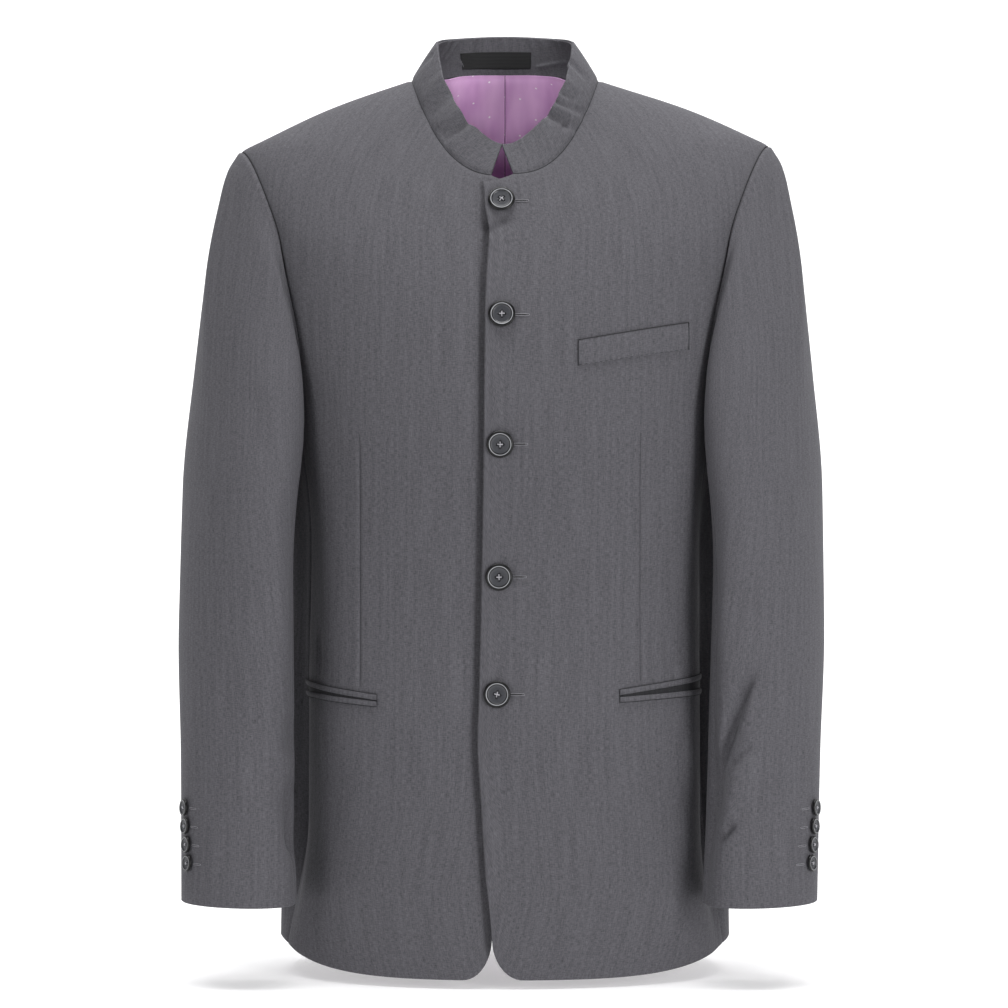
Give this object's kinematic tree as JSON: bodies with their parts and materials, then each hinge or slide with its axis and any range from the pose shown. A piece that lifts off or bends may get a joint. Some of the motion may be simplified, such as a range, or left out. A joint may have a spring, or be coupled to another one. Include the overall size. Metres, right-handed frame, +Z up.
{
  "type": "suit jacket",
  "caption": "Grey suit jacket with a band collar, buttoned front, chest welt and jetted hip pockets, filled out as worn, with open neck, hem and cuffs.",
  "frame": {"origin": "between the side neck points, at the height of the neck seam's sides, where the wearer's shoulders carry the jacket", "axes": "+Z up, +X to the wearer's left, -Y to the front"},
  "size_m": [0.543, 0.2549, 0.792],
  "materials": {
    "suiting": "matte",
    "collar_facing": "matte",
    "lining_satin": "satin",
    "label_ribbon": "satin",
    "button_horn": "satin"
  },
  "bodies": {
    "root": {"front_left": "suiting", "front_right": "suiting", "side_left": "suiting", "side_right": "suiting", "back_left": "suiting", "back_right": "suiting", "sleeve_top_left": "suiting", "sleeve_top_right": "suiting", "sleeve_under_left": "suiting", "sleeve_under_right": "suiting", "collar": "suiting", "chest_welt": "suiting", "jet_upper_left": "suiting", "jet_upper_right": "suiting", "jet_lower_left": "suiting", "jet_lower_right": "suiting", "collar_facing": "collar_facing", "lining_back_left": "lining_satin", "lining_back_right": "lining_satin", "label": "label_ribbon", "button_front_1": "button_horn", "button_front_2": "button_horn", "button_front_3": "button_horn", "button_front_4": "button_horn", "button_front_5": "button_horn", "button_cuff_left_1": "button_horn", "button_cuff_left_2": "button_horn", "button_cuff_left_3": "button_horn", "button_cuff_left_4": "button_horn", "button_cuff_right_1": "button_horn", "button_cuff_right_2": "button_horn", "button_cuff_right_3": "button_horn", "button_cuff_right_4": "button_horn"}
  },
  "joints": []
}
